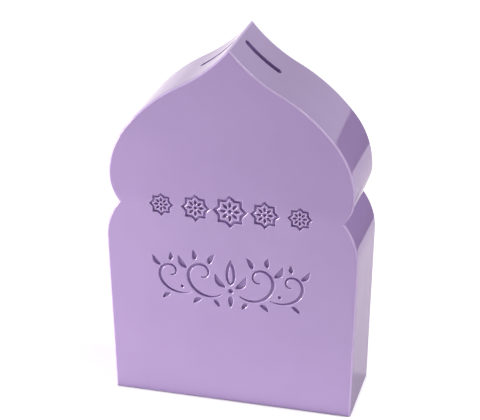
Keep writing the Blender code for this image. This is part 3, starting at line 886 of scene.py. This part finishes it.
def arris_plate(name, face, out):
    """A sheet with the case's outline, whose edge is rounded and polished at the outer face; the rounding
    carries a painted highlight.

    The arrises that face down get no painted highlight, so they are as plain as the sheet.
    """
    profile = [(0, PANEL)]
    for i in range(EDGE_STEPS + 1):
        turn = RIGHT_ANGLE * i / EDGE_STEPS
        profile.append((EDGE_ROUND * (1 - cos(turn)), EDGE_ROUND * (1 - sin(turn))))
    body = bmesh.new()
    rings = []
    for inset, depth in profile:
        level = face - out * depth
        rings.append([body.verts.new((point.x, level, point.y)) for point in inset_outline(inset)])
    body.faces.new(rings[0])
    body.faces.new(rings[-1])
    for number, (lower, upper) in enumerate(zip(rings, rings[1:])):
        for i in range(len(lower)):
            quad = body.faces.new((lower[i - 1], lower[i], upper[i], upper[i - 1]))
            # The middle steps of the rounding take the painted highlight.
            quad.material_index = 1 if 1 < number < EDGE_STEPS else 0
    weld(body)
    face_outwards(body)
    body.normal_update()
    # Arrises that face down lose the painted highlight.
    for side in body.faces:
        if side.normal.z < -SLOPING:
            side.material_index = 0
    return paint_ridge_highlight(solid_from(name, body, ACRYLIC, PAINTED_HIGHLIGHT), [1, -1])


def front_plate():
    """The front sheet with its rounded, polished edge and the ornament cut into it, with painted highlight on
    the edge and the ornament's rims, and painted shade on the ornament's floors.
    """
    plate = arris_plate("front_plate", FRONT, -1)
    star, scroll = star_motif(), scroll_loops()
    depth = 2 * ENGRAVING_DEPTH
    surface = Vector((0, FRONT, 0))
    combined(plate, star_row(flat_solid("star", star, depth, surface, SHADED_ENGRAVING), SHADED_ENGRAVING))
    combined(plate, flat_solid("scroll_cutter", scroll, depth, surface, SHADED_ENGRAVING))
    combined(plate, star_row(funnels([star[:2]] + [[loop] for loop in star[2:]]), PAINTED_HIGHLIGHT))
    combined(plate, funnels([scroll[:2]] + [[loop] for loop in scroll[2:]]), tangled=True)
    engraved = plate.data.materials.find(SHADED_ENGRAVING.name)

    def polish_walls(body):
        weld(body)
        bmesh.ops.dissolve_degenerate(body, edges=body.edges, dist=SAME_POINT)
        body.normal_update()
        for face in body.faces:
            if face.material_index == engraved and abs(face.normal.y) < LEVEL:
                face.material_index = 0

    edited(plate, polish_walls)
    finish(plate, "case", "lilac_acrylic", ["front_panel"])


def back_plate():
    """The back sheet with the door's opening, whose outer edge is eased."""
    plate = arris_plate("back_plate", BACK, 1)
    width = DOOR_WIDTH + 2 * DOOR_CLEARANCE
    height = DOOR_HEIGHT + 2 * DOOR_CLEARANCE
    middle = DOOR_SILL + height / 2
    hole = rounded_rectangle(width, height, DOOR_CORNER + DOOR_CLEARANCE, Vector((0, middle)))
    combined(plate, flat_solid("door_hole", [hole], 2 * PANEL, Vector((0, BACK - PANEL / 2, 0)), ACRYLIC))

    def at_hole(edge):
        return all(
            abs(v.co.y - BACK) < ON_LEVEL
            and abs(v.co.x) < width / 2 + DOOR_CLEARANCE
            and abs(v.co.z - middle) < height / 2 + DOOR_CLEARANCE
            for v in edge.verts
        )

    rounded(plate, SMALL_ROUND, 3, at_hole)
    finish(plate, "case", "lilac_acrylic", ["back_panel"])


def slot_cutter(side):
    """A slot's outline, thickened, sliced and bent along the roof, so that it cuts square to it."""
    radius = SLOT_WIDTH / 2
    upper = Vector((SLOT_START + radius, 0))
    lower = Vector((SLOT_START + SLOT_LENGTH - radius, 0))
    outline = round_loop(radius, lower, -90, 90, 14) + round_loop(radius, upper, 90, 270, 14)
    cutter = flat_solid("coin_slot", [outline], 4 * STRIP, ORIGIN, SLOT_SHADE, FACING_UP)
    points, notch_index = right_outline()
    roof_line = points[:notch_index:-1]

    def bend(body):
        for i in range(1, SLOT_SLICES):
            geometry = body.verts[:] + body.edges[:] + body.faces[:]
            station = upper.lerp(lower, i / SLOT_SLICES)
            bmesh.ops.bisect_plane(body, geom=geometry, plane_co=station.to_3d(), plane_no=(1, 0, 0))
        for vertex in body.verts:
            place, out = point_along(roof_line, vertex.co.x)
            bent = place + out * vertex.co.z
            vertex.co = Vector((side * bent.x, vertex.co.y, bent.y))
        if side < 0:
            bmesh.ops.reverse_faces(body, faces=body.faces)

    return edited(cutter, bend)


def slot_rim(edge):
    middle = (edge.verts[0].co + edge.verts[1].co) / 2
    return abs(middle.y) < SLOT_WIDTH / 2 + 0.1 * MM and abs(middle.x) > 2 * MM


def formed_strips():
    """The heat-formed strips between the sheets. The roof's have the coin slots, with eased rims."""
    for label, side in (("right", 1), ("left", -1)):
        for kind, section in strip_sections().items():
            loop = section if side > 0 else mirrored(section)
            strip = flat_solid(f"{kind}_{label}_formed", [loop], CASE_DEPTH - 2 * PANEL, ORIGIN, ACRYLIC)
            if kind == "roof":
                combined(strip, slot_cutter(side))
                rounded(strip, SMALL_ROUND, 3, slot_rim)
                paint_ridge_highlight(strip, [side])
            finish(strip, "case", "lilac_acrylic", [f"{kind}_strip_{label}"], 30)


def plain_boards():
    """The base and the two bars that the door closes against, with eased edges."""
    stops = [(f"stop_bar_{level}", f"door_stop_{level}") for level in ("lower", "upper")]
    for name, node in [("base_board", "base_panel")] + stops:
        low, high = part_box(node)
        board = block(name, Vector(low), Vector(high), ACRYLIC)
        rounded(board, SMALL_ROUND)
        finish(board, "case", "lilac_acrylic", [node], 40)


# Door
def middle_of(node):
    low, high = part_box(node)
    return (Vector(low) + Vector(high)) / 2


# A place on the lock's axis at the level y = 0, so that heights along it are plain y values
LOCK = Vector((middle_of("lock_nut").x, 0, middle_of("lock_nut").z))


def door_plate():
    """The door's sheet with its lock hole, a circle with two flats, and every edge eased."""
    outline = rounded_rectangle(DOOR_WIDTH, DOOR_HEIGHT, DOOR_CORNER)
    height = middle_of("door_panel").z
    half = BARREL_ACROSS_FLATS / 2 + LOCK_HOLE_CLEARANCE
    hole = [
        Vector((LOCK.x + max(-half, min(half, point.x)), LOCK.z - height + point.y))
        for point in circle(BARREL_RADIUS + LOCK_HOLE_CLEARANCE, Vector((0, 0)), 72)
    ]
    plate = flat_solid("door_plate", [outline, hole], PANEL, Vector((0, BACK - PANEL / 2, height)), ACRYLIC)
    rounded(plate, SMALL_ROUND)
    finish(plate, "door", "lilac_acrylic", ["door_panel"])


# Hinges
def rolled_leaf(label, owner, side):
    """A leaf rolled round the pin. The case's has the end knuckles, the door's the middle one."""
    node = f"hinge_{label}_{owner}_leaf"
    pin = middle_of(f"hinge_{label}_pin")
    height = middle_of(node).z
    seat = Vector((pin.x, BACK + GLUE_GAP, height))
    axis = Vector((0, KNUCKLE_RADIUS))
    top = degrees(asin(LEAF_THICKNESS / KNUCKLE_RADIUS - 1))
    section = [Vector((LEAF_WIDTH, 0))]
    section += round_loop(KNUCKLE_RADIUS, axis, -90, top - 360, 44)
    section += [Vector((LEAF_WIDTH, LEAF_THICKNESS))]
    bore = circle(PIN_RADIUS + PIN_CLEARANCE, axis, 28)
    loops = [section, bore] if side > 0 else [mirrored(section), mirrored(bore)]
    leaf = flat_solid(f"hinge_{label}_{owner}_rolled", loops, HINGE_HEIGHT, seat, NICKEL, FACING_UP)
    half = HINGE_HEIGHT / 2
    inner_end = half - HINGE_HEIGHT * KNUCKLE_END_SHARE
    past = half + PANEL
    notches = [(-inner_end, inner_end)]
    if side > 0:
        notches = [(-past, KNUCKLE_GAP - inner_end), (inner_end - KNUCKLE_GAP, past)]
    room = KNUCKLE_RADIUS + KNUCKLE_GAP
    for low, high in notches:
        corners = seat + Vector((-room, -PANEL, low)), seat + Vector((room, PANEL, high))
        combined(leaf, block("knuckle_notch", *corners, NICKEL))
    plan = rounded_rectangle(2 * LEAF_WIDTH, HINGE_HEIGHT, LEAF_CORNER)
    combined(leaf, flat_solid("leaf_plan", [plan], 4 * PANEL, seat, NICKEL), "INTERSECT")
    for number in (1, 2):
        screw = middle_of(f"hinge_{label}_{owner}_screw_{number}")
        place = Vector((screw.x, seat.y, screw.z))
        hole_radius = SCREW_RADIUS + SCREW_CLEARANCE
        combined(leaf, turned("screw_hole", rod_profile(hole_radius, -PANEL, PANEL), place, NICKEL, 28))
    rounded(leaf, FINE_ROUND, 2)
    finish(leaf, owner, "nickel_plate", [node])


def hinge_pin(label):
    """A pin with a domed head above and a peened end below."""
    node = f"hinge_{label}_pin"
    low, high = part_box(node)
    place = middle_of(node)
    place.z = 0
    profile = rim_profile(PIN_HEAD_RADIUS, high[2], PIN_HEAD_RADIUS, PIN_HEAD_HEIGHT) + [
        (PIN_RADIUS, high[2] - PIN_HEAD_HEIGHT),
        (PIN_RADIUS, low[2] + FINE_ROUND),
        (PIN_RADIUS - FINE_ROUND, low[2]),
        (0, low[2]),
    ]
    pin = turned(f"{node}_domed", profile, place, NICKEL, 32, UP)
    finish(pin, "case", "nickel_plate", [node], 50)


def pan_screw(name, head, radius, length):
    """A pan-head screw along +Y, the top of its head at the origin, with a cross recess."""
    head_radius, head_height = head
    profile = [(head_radius * x_share, -head_height * drop_share) for x_share, drop_share in PAN_HEAD]
    profile += [(radius, -head_height), (radius, radius - length), (0, -length)]
    screw = turned(name, profile, ORIGIN, ZINC, 36)
    reach = head_radius * RECESS_SHARE
    arm = head_radius * RECESS_ARM_SHARE
    deep = head_height * RECESS_SHARE
    for wide, high in ((reach, arm), (arm, reach)):
        corners = Vector((-wide, -deep, -high)), Vector((wide, head_height, high))
        combined(screw, block("recess", *corners, ZINC))
    return screw


def hinge_screws():
    """The four screws in the case and the four in the door, each set as one piece."""
    low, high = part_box("hinge_lower_case_screw_1")
    screw = pan_screw("screw", SCREW_HEAD, SCREW_RADIUS, high[1] - low[1])
    tree = screw_set_tree()
    for seed, owner in enumerate(("case", "door"), 3):
        nodes = [f"hinge_{label}_{owner}_screw_{n}" for label in ("lower", "upper") for n in (1, 2)]
        places = [(middle_of(node).x, high[1], middle_of(node).z) for node in nodes]
        screws = mesh_object(f"hinge_screws_{owner}", places)
        with_tree(screws, tree, {
            "Screw": screw, "Most turn": RIGHT_ANGLE, "Seed": seed, "Finish": ZINC,
        })
        finish(screws, owner, "zinc_plate", nodes)
    remove(screw)


def hinges():
    for label in ("lower", "upper"):
        rolled_leaf(label, "case", -1)
        rolled_leaf(label, "door", 1)
        hinge_pin(label)
    hinge_screws()


# Lock. Heights along its axis are y values.
def bored(solid, radius, low, high, material, steps=64):
    """Drills a hole along the lock's axis, which runs past both levels."""
    profile = rod_profile(radius, low - PANEL, high + PANEL)
    combined(solid, turned("bore", profile, LOCK, material, steps))


def axis_bar(name, wide, tall, low, high, material):
    """A square bar on the lock's axis, this far to each side and up and down."""
    half = Vector((wide, 0, tall))
    return block(name, LOCK - half + OUT * low, LOCK + half + OUT * high, material)


def threaded_barrel(low, high):
    """A rod along +Y whose whole length is cut with a V thread."""
    around = 48
    levels = round((high - low) / THREAD_PITCH * 6)
    points, faces = [], []
    for level in range(levels + 1):
        y = low + (high - low) * level / levels
        for i in range(around):
            phase = (y / THREAD_PITCH + i / around) % 1
            reach = BARREL_RADIUS - THREAD_DEPTH * abs(2 * phase - 1)
            angle = 2 * pi * i / around
            points.append((LOCK.x + reach * cos(angle), y, LOCK.z + reach * sin(angle)))
    for first in range(0, levels * around, around):
        for i in range(around):
            a, b = first + i, first + (i + 1) % around
            faces.append((a, b, b + around, a + around))
    faces += [tuple(range(around)), tuple(range(levels * around, len(points)))]
    barrel = edited(mesh_object("barrel", points, (), faces), face_outwards)
    barrel.data.materials.append(CHROME)
    return barrel


def lock_flange():
    """The lock's face: a domed flange with a fine ring, on a threaded barrel with two flats."""
    end, front = [corner[1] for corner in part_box("lock_body")]
    back = front - FLANGE_HEIGHT
    ring = FLANGE_RADIUS * FLANGE_RING_SHARE
    deep = FLANGE_RING_DEPTH
    profile = [(0, front), (ring - deep, front), (ring, front - deep), (ring + deep, front)]
    profile += rim_profile(FLANGE_RADIUS, front, FLANGE_ROUND, FLANGE_ROUND)
    profile += [(FLANGE_RADIUS, back + FINE_ROUND), (FLANGE_RADIUS - FINE_ROUND, back), (0, back)]
    flange = turned("lock_flange", profile, LOCK, CHROME, 72)
    barrel = threaded_barrel(end, back + FLANGE_HEIGHT / 2)
    flats = BARREL_ACROSS_FLATS / 2, 2 * BARREL_RADIUS, end - PANEL, front + PANEL
    combined(barrel, axis_bar("flats", *flats, CHROME), "INTERSECT")
    combined(flange, barrel, "UNION")
    bored(flange, PLUG_RADIUS + PLUG_CLEARANCE, end, front, CHROME)
    finish(flange, "door", "chrome_plate", ["lock_body"], 30)


def lock_plug():
    """The plug that the key turns, with a warded keyway and a square tail."""
    end, front = [corner[1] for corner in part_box("lock_plug")]
    barrel_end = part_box("lock_body")[0][1]
    profile = [
        (0, front), (PLUG_RADIUS - PLUG_ROUND, front), (PLUG_RADIUS, front - PLUG_ROUND),
        (PLUG_RADIUS, barrel_end), (0, barrel_end),
    ]
    plug = turned("lock_plug_face", profile, LOCK, NICKEL, 64)
    tail = axis_bar("tail", TAIL_SIDE / 2, TAIL_SIDE / 2, end, barrel_end + PLUG_ROUND, NICKEL)
    combined(plug, tail, "UNION")
    wide, tall = KEYWAY_WIDTH / 2, KEYWAY_HEIGHT / 2
    # The wards: grooves that leave the keyway narrower at its ends.
    keyway = [Vector((wide * x_share, tall * z_share)) for x_share, z_share in KEYWAY_OUTLINE]
    combined(plug, flat_solid("keyway", [keyway], 2 * KEYWAY_DEPTH, LOCK + OUT * front, NICKEL))
    bored(plug, CAM_SCREW_RADIUS + PLUG_CLEARANCE, end, end, NICKEL, 32)

    def at_face(edge):
        return all(abs(vertex.co.y - front) < ON_LEVEL for vertex in edge.verts)

    rounded(plug, FINE_ROUND, 2, at_face)
    finish(plug, "lock_plug", "nickel_plate", ["lock_plug"])


def lock_nut():
    """A hexagon nut whose corners are turned down on both faces."""
    low, high = [corner[1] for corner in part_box("lock_nut")]
    slope = radians(30)
    corner = NUT_ACROSS_FLATS / (2 * cos(slope))
    nut = turned("lock_nut_hexagon", rod_profile(corner, low, high), LOCK, ZINC, 6)
    inside = NUT_ACROSS_FLATS / 2 - NUT_FACE_INSET
    outside = corner + NUT_CONE_OVERSHOOT
    drop = (corner - inside) * tan(slope) + NUT_FACE_DROP
    cone = [(0, high), (inside, high), (outside, high - drop), (outside, low + drop), (inside, low), (0, low)]
    combined(nut, turned("nut_cone", cone, LOCK, ZINC, 72), "INTERSECT")
    bored(nut, BARREL_RADIUS + PLUG_CLEARANCE, low, high, ZINC)
    rounded(nut, FINE_ROUND, 2, angle=40)
    finish(nut, "door", "zinc_plate", ["lock_nut"], 30)


def lock_cam():
    """The cranked lever, with a round heel, eased corners and a square hole for the plug's tail."""
    low, high = [corner[1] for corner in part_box("lock_cam")]
    heel_level = low + CAM_THICKNESS / 2
    catch_level = high - CAM_THICKNESS / 2
    centre_line = [Vector(place) for place in (
        (CAM_HEEL, heel_level), (-CAM_BEND_START, heel_level),
        (-CAM_BEND_START - CAM_BEND_RUN, catch_level), (-CAM_REACH, catch_level),
    )]
    outline = inward(centre_line, CAM_THICKNESS / 2) + inward(centre_line, -CAM_THICKNESS / 2)[::-1]
    cam = flat_solid("lock_cam_cranked", [outline], CAM_WIDTH, LOCK, ZINC, FACING_SIDE)
    plan = [p for p in rounded_rectangle(CAM_WIDTH, 2 * CAM_REACH, CAM_TIP_CORNER) if p.y < 0]
    plan += [Vector((-CAM_WIDTH / 2, 0)), Vector((CAM_WIDTH / 2, 0))]
    plan += round_loop(CAM_HEEL, Vector((0, 0)), 20, 160, 24)
    plan.sort(key=lambda point: atan2(point.y + CAM_REACH / 2, point.x))
    combined(cam, flat_solid("cam_plan", [plan], 8 * PANEL, LOCK, ZINC), "INTERSECT")
    half = TAIL_SIDE / 2 + SCREW_CLEARANCE
    combined(cam, axis_bar("cam_hole", half, half, low - PANEL, low + PANEL, ZINC))
    rounded(cam, CAM_ROUND, 2, angle=50)
    finish(cam, "lock_plug", "zinc_plate", ["lock_cam"])


def cam_screw():
    """The screw that holds the cam on the plug's tail, with its head towards the inside."""
    low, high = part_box("cam_screw")
    screw = pan_screw("cam_screw_cross", CAM_SCREW_HEAD, CAM_SCREW_RADIUS, high[1] - low[1])
    turn = Matrix.Rotation(2 * RIGHT_ANGLE, 4, "X") @ Matrix.Rotation(CAM_SCREW_TURN, 4, "Y")
    settled(screw, Matrix.Translation(LOCK + OUT * low[1]) @ turn)
    finish(screw, "lock_plug", "zinc_plate", ["cam_screw"])


front_plate()
back_plate()
formed_strips()
plain_boards()
door_plate()
hinges()
lock_flange()
lock_plug()
lock_nut()
lock_cam()
cam_screw()


# Studio: pale floor, white surround, soft lamps, and glowing cards that only the gloss sees, which paint
# reflections: a dark flag behind the right side, a dark strip, a floor shadow and a pale card
def seen_share(tree):
    """1 for rays from the camera and for those that glossy or clear surfaces send out."""
    path = tree.nodes.new("ShaderNodeLightPath").outputs
    glossy_or_clear = calculated(tree, "MAXIMUM", path["Is Glossy Ray"], path["Is Transmission Ray"])
    return calculated(tree, "MAXIMUM", path["Is Camera Ray"], glossy_or_clear)


def floor_material():
    """Matt white paper: it bounces soft light, takes the shadow and reads as white all round."""
    material, tree, shader = new_material("matt_white_paper")
    # The sheet is lit less and less towards its edges, so its glow grows with the distance.
    length = {"operation": "LENGTH", 0: object_place(tree)}
    away = new_node(tree, "ShaderNodeVectorMath", length, "Value")
    strength = mapped(tree, away, GLOW_START, GLOW_END, NEAR_GLOW, FAR_GLOW)
    # Under the rounded foot no light gets in, so the glow ends where the box touches the paper: a painted
    # contact shadow from the occlusion there.
    reach = {"samples": CONTACT_SAMPLES, "Distance": CONTACT_REACH}
    open_share = mapped(tree, new_node(tree, "ShaderNodeAmbientOcclusion", reach, "AO"), *CONTACT_SHARES)
    glow = calculated(tree, "MULTIPLY", seen_share(tree), strength)
    put(shader, {
        "Base Color": ramp(tree, noise_of(tree, PAPER_GRAIN_SIZE, 2.0), [(0.3, "EDEDED"), (0.7, "F1F1F1")]),
        "Roughness": 0.9,
        "Specular IOR Level": 0.2,
        "Emission Color": WHITE,
        "Emission Strength": calculated(tree, "MULTIPLY", glow, open_share),
    })
    return material


def white_surround():
    """A world that lights the box gently, while the camera and the gloss see it as plain white."""
    world = bpy.data.worlds.new("white_surround")
    bpy.context.scene.world = world
    world.use_nodes = True
    tree = world.node_tree
    tree.nodes.clear()
    ambient, white = [
        new_node(tree, "ShaderNodeBackground", {"Color": WHITE, "Strength": strength})
        for strength in (0.25, 1.0)
    ]
    both = new_node(tree, "ShaderNodeMixShader", {0: seen_share(tree), 1: ambient, 2: white})
    put(tree.nodes.new("ShaderNodeOutputWorld"), {"Surface": both})


def soft_lamp(name, place, target, size, power, colour=(1.0, 1.0, 1.0), in_gloss=True):
    light = bpy.data.lights.new(name, "AREA")
    light.shape = "RECTANGLE"
    light.size, light.size_y = size
    light.energy = power
    light.color = colour
    lamp = add_object(name, light)
    lamp.location = place
    lamp.visible_camera = False
    lamp.visible_glossy = in_gloss
    lamp.rotation_euler = (Vector(target) - Vector(place)).to_track_quat("-Z", "Y").to_euler()


def stage_sheet(name, corners, material):
    """A four-cornered sheet of the studio."""
    obj = mesh_object(name, corners, (), [(0, 1, 2, 3)])
    obj.data.materials.append(material)
    return obj


def mirror_card(name, corners, stops, low, high, strength=1.0):
    """A glowing card that only the gloss sees, for a painted reflection: tones along its y, from low to high.
    """
    material, tree, shader = new_material(name + "_paint")
    along = new_node(tree, "ShaderNodeSeparateXYZ", {"Vector": object_place(tree)}, "Y")
    put(shader, {
        "Emission Color": ramp(tree, mapped(tree, along, low, high), stops),
        "Emission Strength": strength,
        "Base Color": (0, 0, 0, 1),
        "Specular IOR Level": 0.0,
    })
    card = stage_sheet(name, corners, material)
    card.visible_camera = False
    card.visible_diffuse = False
    card.visible_shadow = False


def studio():
    corners = [(x * FLOOR_HALF, y * FLOOR_HALF, 0) for x, y in ((-1, -1), (1, -1), (1, 1), (-1, 1))]
    stage_sheet("paper_floor", corners, floor_material())
    white_surround()

    soft_lamp("left_softbox", (-1.2, -0.3, 0.25), (0, 0, 0.08), (0.5, 0.4), 8.8)
    soft_lamp("near_left_strip", (-0.42, -0.36, 0.06), (0, -0.02, 0.06), (0.3, 0.1), 0.93, WARM)
    soft_lamp("table_bounce", (-0.05, -0.16, 0.0004), (-0.05, -0.16, 1.0), (0.36, 0.26), 0.16, WARM)
    soft_lamp("right_softbox", (1.1, -0.35, 0.45), (0, 0, 0.12), (0.6, 0.6), 1.3)
    soft_lamp("right_top_softbox", (1.0, 0.1, 1.0), (0, 0, 0.15), (0.5, 0.5), 5.4)
    soft_lamp("right_high_softbox", (0.6, -0.8, 1.1), (0, 0, 0.15), (0.3, 0.3), 1.2)
    soft_lamp("behind_softbox", (0, 1.3, 0.12), (0, 0, 0.1), (0.6, 0.24), 6, in_gloss=False)
    soft_lamp("back_softbox", (-0.75, 1.1, 0.35), (0, 0, 0.15), (0.7, 0.7), 1.0, in_gloss=False)

    dark = [(0.0, "3A3A3A"), (1.0, "3E3E3E")]
    # Painted reflection: a dark card behind the right side that only the gloss sees, darkening the
    # reflections there.
    mirror_card(
        "dark_flag",
        [(0.12, 0.505, 0.041), (0.42, 0.37, 0.041), (0.42, 0.37, 0.227), (0.12, 0.505, 0.227)],
        dark, 0.37, 0.505,
    )
    # Painted reflection: a narrow dark strip that darkens the gloss of the right shoulder down to the wall.
    mirror_card(
        "dark_strip",
        [(0.0835, -0.03, 0.1025), (0.0835, 0.055, 0.0975), (0.0835, 0.055, 0.1145), (0.0835, -0.03, 0.1145)],
        dark, -0.03, 0.065,
    )
    # Painted shadow in the reflections: a card only the gloss sees, dark beside the box where its shadow
    # would lie, paler further back.
    mirror_card(
        "grey_card",
        [(0.0727, -0.3, 0.0005), (0.8, -0.3, 0.0005), (0.8, 0.6, 0.0005), (0.0727, 0.6, 0.0005)],
        [(0.0, "A9A2A6"), (0.345, "B4ADB1"), (0.362, "D9D2D6"), (0.6, "E7DFE3"), (1.0, "F0E8EC")],
        -0.1, 0.25,
    )
    # Painted highlight: a pale glowing card behind the left side that only the gloss sees, for the bright
    # reflection on the left roof.
    mirror_card(
        "white_card",
        [(-0.62, 0.12, 0.001), (-0.08, 0.12, 0.001), (-0.08, 0.75, 0.5), (-0.62, 0.75, 0.5)],
        [(0.0, "FFF6FF"), (1.0, "FFF6FF")], 0, 1, 1.15,
    )


def photo_camera():
    """A long lens, a little to the left of the object and above it."""
    data = bpy.data.cameras.new("photo_camera")
    camera = add_object("photo_camera", data)
    data.sensor_width = 36.0
    data.lens = 126.44
    data.clip_start, data.clip_end = 0.05, 20.0
    right = Vector((0.966216, 0.257679, -0.005341))
    down = Vector((0.104866, -0.411984, -0.905137))
    ahead = Vector((-0.235434, 0.873998, -0.425086))
    turn = Matrix((right, -down, -ahead)).transposed()
    camera.matrix_world = Matrix.Translation((0.231771, -0.864046, 0.535365)) @ turn.to_4x4()
    bpy.context.scene.camera = camera


studio()
photo_camera()
bpy.context.scene.view_settings.view_transform = "Standard"
